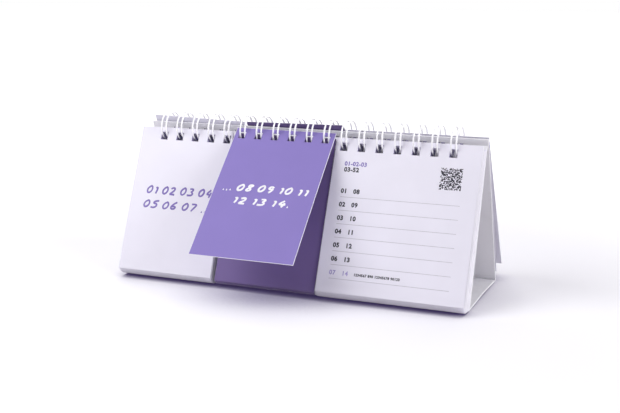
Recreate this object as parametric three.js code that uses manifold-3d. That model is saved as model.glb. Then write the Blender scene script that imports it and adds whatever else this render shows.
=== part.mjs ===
// Desk calendar: a folded board stand, a wire comb along its top, and three blocks of cards on it.
// Millimetres. X runs along the comb, +Y to the back, +Z up. The origin is the middle of the front
// panel's foot, on the table.
import * as THREE from "three";
import { mergeVertices } from "three/addons/utils/BufferGeometryUtils.js";
import Module from "manifold-3d";

const wasm = await Module();
wasm.setup();

// Comb
const PITCH = 12.7; // from one loop to the next
const LEFT_LOOPS = 5;
const MIDDLE_LOOPS = 6;
const RIGHT_LOOPS = 7;
const WIRE = 1.2; // thickness of the wire
const RING_R = 10.4; // radius of a loop, to the middle of the wire
const PAIR = 3.6; // between the two wires of a loop
const BEND_R = 1.2; // bend from the spine into a loop
const TIP_GAP = 0.9; // from the tip of a loop to the line of the spine
const STUB = 2.0; // straight end of the spine

// Stand
const BOARD = 1.0; // thickness of the board
const LEAN = 18.79; // lean of both panels, in degrees
const FRONT_LEN = 108.3; // front panel along its slope
const BACK_RISE = 4.0; // how much higher the rear panel ends
const TOP_GAP = 3.4; // clear gap between the panels at the front panel's top
const END_MARGIN = 19.05; // from the outer loops to the ends of the stand
const BOARD_HOLE_MARGIN = 3.9; // board left above a hole
const CROSS_FRONT = 9.0; // where the wire passes the front panel, below its top
const CROSS_BACK = 7.5; // where the wire passes the rear panel, below its top
const FOLD = 34; // how far the rear panel folds to the front one, in degrees
const PIVOT_RISE = 2.3; // height of the fold's pivot above the front panel's top
const BASE_RISE = 0.9; // how much the crease of the base stands up
const CREASE_HALF = 11.0; // half the width of the soft crease strip
const GROOVE = 0.3; // depth of the score line on the rear panel
const GROOVE_UP = 3.2; // height of the score line above the foot
const GROOVE_W = 0.7; // width of the score line

// Cards
const CUT_WIDE = 3.0; // gap between the left and the middle block
const CUT_SHIFT = -0.7; // how far this gap lies off the middle between two loops
const CUT_NARROW = 0.8; // gap between the middle and the right block
const SHORTER = 2.66; // how much shorter a card is than the front panel
const HOLE_MARGIN = 3.3; // card left above a hole
const HOLE_H = 5.8; // height of a card's hole
const CARD = 0.4; // a single card
const REAR_PACK = 5.9; // thickness of the rear pack at the comb
const FRONT_PACK = 1.4; // thickness of the front pack at the comb
const LIFT_STEP = 0.3; // each single card sits this much higher than the one behind it
const FAN_REAR = 2.1; // how the rear pack opens downwards, in degrees
const FAN_PACKS = 0.5; // between the two packs
const FAN_FRONT = 0.4; // within the front pack
const FAN_CARD = 0.3; // between single cards
const CARD_OPEN = 22.86; // how far the middle top card is swung out, in degrees
const BACK_LEAN = 20.5; // lean of the cards turned to the back
const COVER_LEAN = 28.2; // lean of the covers turned to the back
const BACK_GAP = 0.5; // from the rear panel to the turned cards
const COVER_LIFT = 2.0; // how much higher the middle cover is pushed up

const FIT = 0.3; // clear gap between neighbours
const FLOOR_GAP = 0.4; // cards above the table

const rad = (a) => (a * Math.PI) / 180;
const sin = (a) => Math.sin(rad(a));
const cos = (a) => Math.cos(rad(a));
const tan = (a) => Math.tan(rad(a));

// Positions along X
const N = LEFT_LOOPS + MIDDLE_LOOPS + RIGHT_LOOPS;
const loopX = Array.from({ length: N }, (_, i) => (i - (N - 1) / 2) * PITCH);
const halfW = loopX[N - 1] + END_MARGIN;
const cutA = loopX[LEFT_LOOPS - 1] + PITCH / 2 + CUT_SHIFT;
const cutB = loopX[LEFT_LOOPS + MIDDLE_LOOPS - 1] + PITCH / 2;
const blocks = [
  { name: "left", x0: -halfW, x1: cutA - CUT_WIDE / 2 },
  { name: "mid", x0: cutA + CUT_WIDE / 2, x1: cutB - CUT_NARROW / 2 },
  { name: "right", x0: cutB + CUT_NARROW / 2, x1: halfW },
];
for (const b of blocks) b.loops = loopX.filter((x) => x > b.x0 && x < b.x1);
const holeW = PAIR + WIRE + 2 * FIT;

// Side view of the stand, as [y, z]. The panels lie mirrored about the plane y = middle.
const slant = BOARD / 2 / cos(LEAN); // half a board's thickness, measured level
const frontTop = FRONT_LEN * cos(LEAN);
const backTop = frontTop + BACK_RISE;
const middle = TOP_GAP / 2 + slant + tan(LEAN) * frontTop;
const frontAt = (z) => [tan(LEAN) * z, z];
const backAt = (z) => [2 * middle - tan(LEAN) * z, z];
const upFront = [sin(LEAN), cos(LEAN)];
const upBack = [-sin(LEAN), cos(LEAN)];
const outFront = [-cos(LEAN), sin(LEAN)];
const outBack = [cos(LEAN), sin(LEAN)];
const add = (p, a, k) => [p[0] + a[0] * k, p[1] + a[1] * k];
const dot = (a, b) => a[0] * b[0] + a[1] * b[1];
const sub = (a, b) => [a[0] - b[0], a[1] - b[1]];
const turn = (p, c, a) => {
  const [y, z] = sub(p, c);
  return [c[0] + y * cos(a) - z * sin(a), c[1] + y * sin(a) + z * cos(a)];
};

// The loops' centre: a circle through the points where the wire passes the two panels.
const crossF = add(frontAt(frontTop), upFront, -CROSS_FRONT);
const crossB = add(backAt(backTop), upBack, -CROSS_BACK);
const chord = sub(crossB, crossF);
const half = Math.hypot(...chord) / 2;
const rise = Math.sqrt(RING_R ** 2 - half ** 2) / (2 * half);
const ring = add(add(crossF, chord, 0.5), [-chord[1], chord[0]], rise);
const angleOf = (p) => (Math.atan2(p[1] - ring[1], p[0] - ring[0]) * 180) / Math.PI;
const pivot = [middle, frontTop + PIVOT_RISE];

// Heights, along a sheet's own plane, between which the wire passes a layer from q0 to q1.
const wireHigh = (q0, q1) => {
  const q = Math.max(Math.abs(q0), Math.abs(q1));
  return -Math.sqrt((RING_R - WIRE / 2) ** 2 - q ** 2);
};
const wireLow = (q0, q1) => {
  const q = q0 * q1 < 0 ? 0 : Math.min(Math.abs(q0), Math.abs(q1));
  return -Math.sqrt((RING_R + WIRE / 2) ** 2 - q ** 2);
};

// A prism along X from an outline in the side view.
function prism(outline, x0, x1) {
  const shape = new THREE.Shape(outline.map(([y, z]) => new THREE.Vector2(y, z)));
  const g = new THREE.ExtrudeGeometry(shape, { depth: x1 - x0, bevelEnabled: false });
  const toSide = new THREE.Matrix4().makeBasis(
    new THREE.Vector3(0, 1, 0),
    new THREE.Vector3(0, 0, 1),
    new THREE.Vector3(1, 0, 0),
  );
  g.applyMatrix4(toSide);
  return g.translate(x0, 0, 0);
}

function solid(geometry) {
  geometry.deleteAttribute("normal");
  geometry.deleteAttribute("uv");
  const g = mergeVertices(geometry, 1e-4);
  const vertProperties = g.attributes.position.array;
  const triVerts = new Uint32Array(g.index.array);
  return new wasm.Manifold(new wasm.Mesh({ numProp: 3, vertProperties, triVerts }));
}

function geometryOf(body) {
  const m = body.getMesh();
  const g = new THREE.BufferGeometry();
  g.setAttribute("position", new THREE.BufferAttribute(m.vertProperties, 3));
  g.setIndex(new THREE.BufferAttribute(m.triVerts, 1));
  const flat = g.toNonIndexed();
  flat.computeVertexNormals();
  return flat;
}

// A plate with one hole for each loop that passes it.
function punched(outline, x0, x1, holeOutline, loops) {
  const plate = solid(prism(outline, x0, x1));
  const cuts = loops.map((x) => solid(prism(holeOutline, x - holeW / 2, x + holeW / 2)));
  return geometryOf(plate.subtract(wasm.Manifold.union(cuts)));
}

const part = new THREE.Group();
part.name = "desk_calendar";
function piece(name, geometry, color, roughness, metalness = 0) {
  const material = new THREE.MeshStandardMaterial({ color, roughness, metalness });
  material.name = name;
  const mesh = new THREE.Mesh(geometry, material);
  mesh.name = name;
  part.add(mesh);
}
const WHITE = 0xeeecf6;
const PAPER = 0xe6e2f5;
const PURPLE = 0x9484ca;
const DEEP = 0x8a78c0;

// Panels. Each foot is cut level, each top square to the board.
function panelOutline(at, out, up, top, notch) {
  const foot = at(0);
  const side = Math.sign(out[0]);
  const inner = [foot[0] - side * slant, 0];
  const outline = [[foot[0] + side * slant, 0], inner];
  if (notch) {
    const k = 1 / cos(LEAN);
    const low = add(inner, up, (GROOVE_UP - GROOVE_W / 2) * k);
    const high = add(inner, up, (GROOVE_UP + GROOVE_W / 2) * k);
    outline.push(low, add(add(inner, up, GROOVE_UP * k), out, GROOVE), high);
  }
  const head = at(top);
  outline.push(add(head, out, -BOARD / 2), add(head, out, BOARD / 2));
  return outline;
}

// The hole in a panel clears the wire at every angle of the fold.
function holeBelowTop(top, up, out, foldTo) {
  let low = 0;
  for (let f = 0; f <= foldTo; f += FOLD / 10) {
    const c = sub(turn(ring, pivot, f), top);
    for (const q of [-BOARD / 2, 0, BOARD / 2]) {
      const away = Math.min(Math.abs(q - dot(c, out)), RING_R);
      low = Math.max(low, -dot(c, up) + Math.sqrt((RING_R + WIRE / 2) ** 2 - away ** 2));
    }
  }
  return low + FIT;
}
function panelHole(at, out, up, top, foldTo) {
  const head = at(top);
  const low = holeBelowTop(head, up, out, foldTo);
  const a = add(head, up, -BOARD_HOLE_MARGIN);
  const b = add(head, up, -low);
  return [add(a, out, -BOARD), add(b, out, -BOARD), add(b, out, BOARD), add(a, out, BOARD)];
}
const frontHole = panelHole(frontAt, outFront, upFront, frontTop, 0);
const backHole = panelHole(backAt, outBack, upBack, backTop, FOLD);
const frontOutline = panelOutline(frontAt, outFront, upFront, frontTop, false);
const backOutline = panelOutline(backAt, outBack, upBack, backTop, true);
piece("front_panel", punched(frontOutline, -halfW, halfW, frontHole, loopX), WHITE, 0.62);
piece("back_panel", punched(backOutline, -halfW, halfW, backHole, loopX), WHITE, 0.62);

// Base: two halves hinged at the feet, and the soft strip of the crease between them.
const hingeZ = FIT + BOARD / 2;
const hingeY = tan(LEAN) * hingeZ + (BOARD + FIT) / cos(LEAN);
const span = middle - hingeY; // from a hinge to the crease, level
const baseUp = [Math.cos(Math.atan2(BASE_RISE, span)), Math.sin(Math.atan2(BASE_RISE, span))];
const baseOut = [-baseUp[1], baseUp[0]];
const faceAtTop = tan(LEAN) * (hingeZ + BOARD / 2) + slant;
const baseStart = faceAtTop + FIT / cos(LEAN) - hingeY;
const baseLen = Math.hypot(span, BASE_RISE);
const mirror = ([y, z]) => [2 * middle - y, z];
const hinge = [hingeY, hingeZ];
const onBase = (s, q) => add(add(hinge, baseUp, s), baseOut, q);
const frontBase = [
  onBase(baseStart, -BOARD / 2),
  onBase(baseLen - CREASE_HALF, -BOARD / 2),
  onBase(baseLen - CREASE_HALF, BOARD / 2),
  onBase(baseStart, BOARD / 2),
];
const stripStart = baseLen - CREASE_HALF + FIT;
const creaseTop = [middle, hingeZ + BASE_RISE + BOARD / 2];
const creaseBottom = [middle, hingeZ + BASE_RISE - BOARD / 2];
const stripA = onBase(stripStart, BOARD / 2);
const stripB = onBase(stripStart, -BOARD / 2);
const strip = [stripA, stripB, creaseBottom, mirror(stripB), mirror(stripA), creaseTop];
piece("base_front", prism(frontBase, -halfW, halfW), WHITE, 0.62);
piece("base_rear", prism(frontBase.map(mirror).reverse(), -halfW, halfW), WHITE, 0.62);
piece("base_crease", prism(strip, -halfW, halfW), WHITE, 0.62);

// Comb: one wire. The spine lies between the panels, where it stays clear when they fold.
const closedRing = turn(ring, pivot, FOLD);
const awayClosed = dot(sub(closedRing, backAt(backTop)), outBack);
const alongClosed = dot(sub(closedRing, backAt(backTop)), upBack);
const reach = Math.sqrt(RING_R ** 2 - awayClosed ** 2);
const closedCross = add(backAt(backTop), upBack, alongClosed - reach);
const closedAngle = angleOf(turn(closedCross, pivot, -FOLD));
const spineAngle = (angleOf(crossF) + closedAngle) / 2;
const roundLen = 2 * Math.PI * RING_R;
const onRing = (x, arc) => {
  const a = rad(spineAngle) - arc / RING_R;
  return new THREE.Vector3(x, ring[0] + RING_R * Math.cos(a), ring[1] + RING_R * Math.sin(a));
};
function combPath() {
  const ARM_STEPS = 15;
  const TIP_STEPS = 6;
  const BEND_STEPS = 2;
  const points = [];
  const r = PAIR / 2;
  const tipStart = roundLen - TIP_GAP - r;
  const put = (x, arc) => points.push(onRing(x, arc));
  put(loopX[0] - r - BEND_R - STUB, 0);
  for (const x of loopX) {
    for (let i = 0; i <= BEND_STEPS; i++) {
      const a = (i / BEND_STEPS) * (Math.PI / 2);
      put(x - r - BEND_R + BEND_R * Math.sin(a), BEND_R - BEND_R * Math.cos(a));
    }
    for (let i = 1; i <= ARM_STEPS; i++)
      put(x - r, BEND_R + ((tipStart - BEND_R) * i) / ARM_STEPS);
    for (let i = 1; i < TIP_STEPS; i++) {
      const a = (i / TIP_STEPS) * Math.PI;
      put(x - r * Math.cos(a), tipStart + r * Math.sin(a));
    }
    for (let i = ARM_STEPS; i >= 1; i--)
      put(x + r, BEND_R + ((tipStart - BEND_R) * i) / ARM_STEPS);
    for (let i = BEND_STEPS; i >= 0; i--) {
      const a = (i / BEND_STEPS) * (Math.PI / 2);
      put(x + r + BEND_R - BEND_R * Math.sin(a), BEND_R - BEND_R * Math.cos(a));
    }
  }
  put(loopX[N - 1] + r + BEND_R + STUB, 0);
  return points;
}

// One unbroken tube with six sides along the points.
function tube(points, radius) {
  const SIDES = 6;
  const position = [];
  const index = [];
  const along = points.map((p, i) => {
    const a = points[Math.max(i - 1, 0)];
    const b = points[Math.min(i + 1, points.length - 1)];
    return b.clone().sub(a).normalize();
  });
  let normal = new THREE.Vector3(0, 0, 1).cross(along[0]).normalize();
  points.forEach((p, i) => {
    normal = normal.clone().addScaledVector(along[i], -normal.dot(along[i])).normalize();
    const other = along[i].clone().cross(normal);
    for (let k = 0; k < SIDES; k++) {
      const a = (k / SIDES) * 2 * Math.PI;
      const v = p.clone().addScaledVector(normal, radius * Math.cos(a));
      v.addScaledVector(other, radius * Math.sin(a));
      position.push(v.x, v.y, v.z);
    }
    if (i === 0) return;
    for (let k = 0; k < SIDES; k++) {
      const a = (i - 1) * SIDES + k;
      const b = (i - 1) * SIDES + ((k + 1) % SIDES);
      index.push(a, b, b + SIDES, a, b + SIDES, a + SIDES);
    }
  });
  const last = (points.length - 1) * SIDES;
  for (let k = 1; k < SIDES - 1; k++) {
    index.push(0, k + 1, k);
    index.push(last, last + k, last + k + 1);
  }
  const g = new THREE.BufferGeometry();
  g.setAttribute("position", new THREE.Float32BufferAttribute(position, 3));
  g.setIndex(index);
  g.computeVertexNormals();
  return g;
}

// Least clear gap between parts of the wire that lie apart along it.
function leastGap(points) {
  const samples = [];
  let run = 0;
  for (let i = 1; i < points.length; i++) {
    const step = points[i].distanceTo(points[i - 1]);
    const parts = Math.max(1, Math.ceil(step / (WIRE / 2)));
    for (let k = 0; k < parts; k++) {
      const p = points[i - 1].clone().lerp(points[i], k / parts);
      samples.push([p, run + (step * k) / parts]);
    }
    run += step;
  }
  let least = Infinity;
  for (let i = 0; i < samples.length; i++) {
    for (let j = i + 1; j < samples.length; j++) {
      if (samples[j][0].x - samples[i][0].x > 2 * PITCH) break;
      if (samples[j][1] - samples[i][1] < 4 * WIRE) continue;
      least = Math.min(least, samples[i][0].distanceTo(samples[j][0]));
    }
  }
  return least - WIRE;
}
const wirePath = combPath();
console.log("wire_comb: least gap to itself " + leastGap(wirePath).toFixed(2) + " mm");
piece("wire_comb", tube(wirePath, WIRE / 2), 0xf4f3f8, 0.3, 0.1);

// Cards at the front. q is the distance in front of the loops' centre, s the height along the card.
const cardLen = FRONT_LEN - SHORTER;
const frontPoint = (q, s, lean) => {
  const p = add(ring, [-cos(lean), sin(lean)], q);
  return add(p, [sin(lean), cos(lean)], s);
};
const backPoint = (q, s, lean) => {
  const p = add(ring, [cos(lean), sin(lean)], q);
  return add(p, [-sin(lean), cos(lean)], s);
};

// Height of a card's top edge: it hangs on the wire, unless its foot meets the table first.
function cardTop(q, lean, length, lift) {
  const hang = wireHigh(q, q) + FIT + HOLE_MARGIN + lift;
  const onTable = (FLOOR_GAP - ring[1] - q * sin(lean)) / cos(lean) + length;
  return Math.max(hang, onTable);
}
function layer(point, length, a, b) {
  const outline = [
    point(a.q, a.top, a.lean),
    point(a.q, a.top - length, a.lean),
    point(b.q, b.top - length, b.lean),
    point(b.q, b.top, b.lean),
  ];
  const more = 2 * CARD; // the cutter runs past both faces
  const slope = (b.top - a.top) / (b.q - a.q);
  const hole = [
    [a, -more],
    [b, more],
  ].map(([e, k]) => {
    const high = e.top - HOLE_MARGIN + slope * k;
    return [point(e.q + k, high, e.lean), point(e.q + k, high - HOLE_H, e.lean)];
  });
  return { outline, hole: [hole[0][0], hole[0][1], hole[1][1], hole[1][0]] };
}
const panelQ = dot(sub(frontAt(0), ring), outFront) + BOARD / 2;
const leanRear = LEAN + FAN_REAR;
const leanFrontRear = leanRear + FAN_PACKS;
const leanFront = leanFrontRear + FAN_FRONT;
const q0 = panelQ + FIT;
const q1 = q0 + REAR_PACK;
const q2 = q1 + FIT;
const q3 = q2 + FRONT_PACK;
const singles = [1, 2, 3].map((n) => ({
  lean: leanFront + FAN_CARD * n,
  q: q3 + FIT + (n - 1) * (CARD + FIT),
  lift: LIFT_STEP * n,
}));
function frontLayers(block) {
  const corner = (q, lean) => ({ q, lean, top: cardTop(q, lean, cardLen, 0) });
  const list = [
    ["rear_pack", corner(q0, LEAN), corner(q1, leanRear)],
    ["front_pack", corner(q2, leanFrontRear), corner(q3, leanFront)],
  ];
  ["third_card", "second_card", "top_card"].forEach((name, i) => {
    const { lean, q, lift } = singles[i];
    const top = cardTop(q + CARD, lean, cardLen, lift);
    const out = name === "top_card" && block.name === "mid" ? CARD_OPEN : 0;
    list.push([name, { q, lean: lean + out, top }, { q: q + CARD, lean: lean + out, top }]);
  });
  return list;
}
for (const block of blocks) {
  for (const [name, a, b] of frontLayers(block)) {
    const { outline, hole } = layer(frontPoint, cardLen, a, b);
    const color = block.name === "mid" ? (name === "top_card" ? PURPLE : DEEP) : PAPER;
    const g = punched(outline, block.x0, block.x1, hole, block.loops);
    piece(block.name + "_" + name, g, name.endsWith("pack") ? WHITE : color, 0.55);
  }
}

// Cards at the back: one turned over, and the cover, cut as tall as the rear panel.
const coverLen = backTop / cos(LEAN);
const head = sub(backAt(backTop), ring);
const tilt = BACK_LEAN - LEAN;
const faceQ = dot(sub(backAt(0), ring), outBack) + BOARD / 2;
const faceHere = faceQ * cos(tilt) + (dot(head, upBack) - BOARD_HOLE_MARGIN) * sin(tilt);
const turnedQ = faceHere + BACK_GAP;
const turnedTop = cardTop(turnedQ + CARD, BACK_LEAN, cardLen, 0);
const spread = COVER_LEAN - BACK_LEAN;
const coverQ = (turnedQ + CARD) * cos(spread) + turnedTop * sin(spread) + FIT;
for (const block of blocks) {
  const lift = block.name === "mid" ? COVER_LIFT : 0;
  const coverTop = cardTop(coverQ + CARD, COVER_LEAN, coverLen, lift);
  const list = [
    ["turned_card", turnedQ, turnedTop, BACK_LEAN, cardLen],
    ["cover", coverQ, coverTop, COVER_LEAN, coverLen],
  ];
  for (const [name, q, top, lean, length] of list) {
    const a = { q, lean, top };
    const b = { q: q + CARD, lean, top };
    const { outline, hole } = layer(backPoint, length, a, b);
    const g = punched(outline, block.x0, block.x1, hole, block.loops);
    piece(block.name + "_" + name, g, block.name === "mid" ? DEEP : PAPER, 0.55);
  }
}

// Places of the joints, for the record.
part.userData.joints = { ring, pivot, hinge, rearHinge: mirror(hinge), middle, baseLen };

export default part;
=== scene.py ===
"""Desk calendar: smooth wire comb, blocks of thin leaves, printed cards, folding board stand, studio.

Every sheet is made flat, in its own plane: X along the comb, Y up the sheet from the middle of the
comb's loops, Z out of the sheet. It is then turned into its lean. Sizes in the functions are in
millimetres and angles in degrees. A finished mesh is in metres, in the frame of the CAD part.
"""
import math
import random

import bmesh
import bpy
from bpy.props import FloatProperty, FloatVectorProperty, IntProperty, PointerProperty
from mathutils import Matrix, Vector


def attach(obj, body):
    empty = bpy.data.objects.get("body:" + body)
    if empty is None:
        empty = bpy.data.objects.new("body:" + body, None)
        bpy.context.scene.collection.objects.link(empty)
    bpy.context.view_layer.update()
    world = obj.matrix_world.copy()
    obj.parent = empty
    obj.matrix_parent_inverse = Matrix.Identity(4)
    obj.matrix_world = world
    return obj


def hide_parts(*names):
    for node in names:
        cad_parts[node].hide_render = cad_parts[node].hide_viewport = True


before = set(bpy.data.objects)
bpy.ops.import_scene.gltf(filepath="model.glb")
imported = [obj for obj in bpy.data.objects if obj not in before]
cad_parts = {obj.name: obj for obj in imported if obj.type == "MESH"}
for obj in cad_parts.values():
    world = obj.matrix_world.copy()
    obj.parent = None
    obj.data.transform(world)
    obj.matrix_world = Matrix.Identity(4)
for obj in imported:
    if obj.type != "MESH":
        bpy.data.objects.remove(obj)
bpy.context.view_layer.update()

bl_info = {
    "name": "Desk calendar",
    "version": (1, 0, 0),
    "blender": (4, 5, 0),
    "location": "3D View > Sidebar > Calendar",
    "description": "Dresses a folding desk calendar that has its cards on a wire comb",
    "category": "Object",
}

MM = 0.001

# Comb: double loops on one wire, which runs along a spine between them
PITCH = 12.7
COUNT = 18
PAIR = 3.6  # between the two arms of a double loop
BEND_R = 1.2  # bend from the spine into an arm
TIP_GAP = 0.9  # left open between the tip of a loop and the spine
STUB = 2.0  # spine past the first and the last loop
RING = (31.250309, 104.381902)  # Y and Z of the middle of the loops
SPINE_ANGLE = -74.770952
ARM_STEPS, TIP_STEPS, BEND_STEPS = 44, 14, 6
LOOP_X = [(i - (COUNT - 1) / 2) * PITCH for i in range(COUNT)]

# Stand: the hinge at the foot of a panel, the crease in the middle, and a half of the base
MIDDLE = 37.111628
HINGE = (1.645369, 0.8)
BASE_START = -0.358
BASE_LEN = 35.477676
BASE_RISE = 0.9
BASE_TILT = math.degrees(math.atan2(BASE_RISE, MIDDLE - HINGE[0]))
CREASE_GAP = 0.04
HALF_W = 127.0
BOARD = 1.0

# Sheets, each with (distance out from the middle of the loops, height of the top edge, lean)
CARD_LEN = 105.64
COVER_LEN = 112.525
CARD = 0.4  # thickness of a single card
RIM = 0.16  # cut edge that shows on the face of the swung-out card
TRIM = 0.5  # how much shorter the thin leaves are
BLOCKS = {"left": (-127.0, -53.0), "mid": (-50.0, 25.0), "right": (25.8, 127.0)}
PACKS = {
    "rear_pack": ((-3.2366, -3.0943, 18.79), (2.6634, -5.8311, 20.89)),
    "front_pack": ((2.9634, -5.7412, 21.39), (4.3634, -5.1750, 21.79)),
}
SINGLES = {
    "third_card": (4.6634, -4.4906, 22.09),
    "second_card": (5.3634, -3.7261, 22.39),
    "top_card": (6.0634, -2.8665, 22.69),
}
OPEN_LEAN = 45.55
TURNED = (7.9375, -1.5504, 20.5)
COVERS = (8.3546, -0.8043, 28.2)

# Thin leaves: how much more room each takes at its foot, and its share of the stray along X and Y
LEAF_SWELL = 0.17
STRAY_X, STRAY_Y = 0.7, 0.8

# Bow of the single cards: its depth, where it starts and how far it runs, and how it is shaped
BOWS = {"third_card": 0.08, "second_card": 0.16, "top_card": 0.3}
BOW_TOP, BOW_RUN = -6.0, 99.0
BOW_SKEW, BOW_FOOT = 1.25, 0.25
BOW_ROWS = 10

# Punched holes, and the paper above them on each layer
HOLE_W = 5.4
HOLE_H = 5.8
HOLE_MARGIN = 3.3
MARGINS = {
    "rear_pack": 0.8,
    "front_pack": 0.8,
    "third_card": 1.8,
    "second_card": 2.5,
    "top_card": HOLE_MARGIN,
}
PAINTED_SHADE = 2.4  # how far painted shade, in the punched-edge colour, goes below the holes on the rear face of a turned sheet, where the panel's holes look into shade
SHADE_SIDE = 3.0  # how far it stays off the sides
NEAR = 0.01  # how far past a hole a wall still counts as the hole's
INSIDE = 0.1  # how far a hole's walls are from the sides, at least

# How the covers hang: raised, askew and moved aside; more paper over their holes; foot of the holes
COVER_LIFT = {"left": 3.0, "mid": 2.8, "right": 0.0}
COVER_ASKEW = {"left": 1.7, "mid": -1.05, "right": 0.0}
COVER_ASIDE = {"left": 2.3, "mid": 0.5, "right": 0.0}
COVER_MORE = {"left": 1.0, "mid": 1.0, "right": 0.0}
COVER_HOLE_FOOT = {"left": -8.05, "mid": -7.6, "right": -7.15}

# Print: its thickness, how far a pen stroke is flattened, and how far all print stands off a card
INK_THICK = 0.02
TYPE_HALF = 0.012
PEN_FLAT = 0.05
PRINT_LIFT = 0.014
NUMBERS = 14  # drawn by pen on each layer of cards, half of them on the left ones

# Plain type: steps of its outline, the finest first, and its spacing
TYPE_STEPS = (6, 5, 4, 3, 2)
TYPE_SPACE = 1.12

# Pen: slant and width of its digits, how they jump up and down, and how hard it presses
PEN_SLANT, PEN_WIDE = 0.26, 1.12
PEN_LIFT = (-0.04, 0.05)
PEN_PRESS = (0.86, 1.12)
PEN_SEEDS = {"left": 3, "mid": 4}
MID_BROAD = 1.15  # broader pen on the purple cards
MID_INNER_X = -5.5  # the inner purple card's numbers start further to the left

# Right cards: rows of small numbers, thin rules between them, and a square of scattered blocks
ROW_Y, ROW_STEP = -40.8, 9.24
RULE_Y, RULE_STEP = -43.6, 9.21
RULE_X = (34.2, 116.4)
RULE_HALF = 0.17
NUMBER_X = (34.1, 43.0)
NUMBER_SIZE = 4.1
LAST_Y = -96.2
PATTERN_AT, PATTERN_SIDE, PATTERN_CELLS = (101.1, -19.0), 14.6, 27
PATTERN_SEED = 11
PATTERN_LIGHT = 0.41  # share of its cells that stay bare

# Camera, in metres and degrees, with its focal length in pixels of the photograph's width
PHOTO_W = 620
FOCAL = 1050
SENSOR = 36.0
CAMERA_AT = (0.28175, -0.63717, 0.21028)
CAMERA_YAW, CAMERA_DIP, CAMERA_ROLL = 22.67, 12.27, -0.14

# Studio, in metres and degrees: the wide key light and where it aims, and the softer lights around
FLOOR_HALF = 6.0
KEY_WAY = (-0.56, -0.52, 0.65)
KEY_AIM = (0, 0.02, 0.06)
KEY_FAR, KEY_WIDE = 1.12, 0.9
SUNS = {
    "fill": ((0.95, -0.15, 0.25), 40),
    "top": ((0.1, 0.12, 0.98), 70),
    "back": ((-0.25, 0.8, 0.5), 60),
}
ROOM_COLOUR = (1.0, 0.94, 0.96, 1)


def srgb(r, g, b):
    """A colour as written on screen, 0 to 255, as the linear colour that a shader takes."""
    out = []
    for v in (r, g, b):
        v /= 255
        out.append(v / 12.92 if v <= 0.04045 else ((v + 0.055) / 1.055) ** 2.4)
    return tuple(out)


def colour(name, text, value):
    """A colour setting, from a colour as written on screen."""
    return FloatVectorProperty(
        name=name, description=text, subtype="COLOR", size=3, min=0, max=1, default=srgb(*value)
    )


def length(name, text, value):
    """A length setting, from millimetres."""
    return FloatProperty(
        name=name, description=text, default=value * MM, subtype="DISTANCE", unit="LENGTH", min=0, precision=5
    )


def number(name, text, value, most):
    """A setting for a number of leaves; a pack needs two."""
    return IntProperty(name=name, description=text, default=value, min=2, max=most)


def level(name, text, value):
    """A setting for the strength of a light."""
    return FloatProperty(name=name, description=text, default=value, min=0)


class CombSizes(bpy.types.PropertyGroup):
    """Sizes of the wire comb."""

    wire: length("Wire", "Thickness of the coated wire", 1.2)
    radius: length("Loop radius", "Radius of a loop, to the middle of the wire", 10.4)
    coat: colour("Coat", "White coat of the wire", (250, 250, 254))


class LeafSizes(bpy.types.PropertyGroup):
    """Sizes and colours of the leaves and cards."""

    rear_leaves: number("Rear leaves", "Leaves in each rear pack", 26, 40)
    front_leaves: number("Front leaves", "Leaves in each front pack", 6, 10)
    leaf: length("Leaf", "Thickness of one thin leaf, at the comb", 0.19)
    stray: length("Stray", "How far a leaf may lie off the block's edge", 0.14)
    pale: colour("Pale card", "Colour of the pale cards", (237, 235, 248))
    purple: colour("Purple card", "Colour of the purple cards", (135, 120, 190))
    # Painted shade: a darker, greyer copy of the purple for the mid block's cards other than the swung-out one,
    # as if they lie in its shade
    shaded_purple: colour("Deep card", "Colour of the purple cards inside the block", (117, 99, 151))
    cut: colour("Cut edge", "Colour of the cut edges", (247, 246, 252))
    # Painted shade: the edges inside the punched holes are a darker lavender grey than the cut edges, so that
    # the deep holes look shaded
    punched: colour("Punched edge", "Colour of the edges inside the punched holes", (158, 148, 205))


class StandSizes(bpy.types.PropertyGroup):
    """Sizes and colours of the folded board stand."""

    board: colour("Board", "Colour of the white board", (245, 244, 250))
    corner: length("Corner", "Rounding of the folded board's edges", 0.12)


class InkColours(bpy.types.PropertyGroup):
    """Colours and sizes of the print."""

    purple: colour("Purple ink", "Ink of the large hand-drawn numbers", (126, 109, 184))
    white: colour("White ink", "Ink on the purple card", (247, 246, 252))
    dark: colour("Dark ink", "Ink of the small numbers", (48, 46, 58))
    soft: colour("Soft ink", "Ink of the last row", (172, 160, 214))
    rule: colour("Rule", "Ink of the thin rules", (196, 194, 206))
    stroke: length("Stroke", "Half the width of a hand-drawn stroke", 0.66)


class StageSettings(bpy.types.PropertyGroup):
    """Light level of the studio."""

    key: level("Key light", "Strength of the wide soft light from above the front", 1.9)
    fill: level("Fill light", "Strength of the wide soft light from the right", 2.15)
    top: level("Top light", "Strength of the wide soft light from above", 1.0)
    back: level("Back light", "Strength of the wide soft light from behind", 1.1)
    room: level("Room light", "Strength of the even light of the room", 0.1)


class CalendarSettings(bpy.types.PropertyGroup):
    """All settings of the desk calendar."""

    comb: PointerProperty(type=CombSizes)
    leaves: PointerProperty(type=LeafSizes)
    stand: PointerProperty(type=StandSizes)
    ink: PointerProperty(type=InkColours)
    stage: PointerProperty(type=StageSettings)


# ---------------------------------------------------------------- meshes


def facing(lean, back=False):
    """Matrix from a sheet's own plane, in millimetres, to its place in the part, in metres."""
    a = math.radians(lean)
    way = -1 if back else 1
    x = Vector((way, 0, 0))
    up = Vector((0, way * math.sin(a), math.cos(a)))
    out = Vector((0, -way * math.cos(a), math.sin(a)))
    m = Matrix.Identity(4)
    for i, axis in enumerate((x, up, out)):
        m.col[i] = (*(axis * MM), 0)
    m.col[3] = (0, RING[0] * MM, RING[1] * MM, 1)
    return m


def keep(name, mesh, body, materials):
    """Makes a piece from a mesh, with its materials, and lets it ride on a body."""
    piece = bpy.data.objects.new(name, mesh)
    bpy.context.scene.collection.objects.link(piece)
    for m in materials:
        mesh.materials.append(m)
    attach(piece, body)
    return piece


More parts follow.
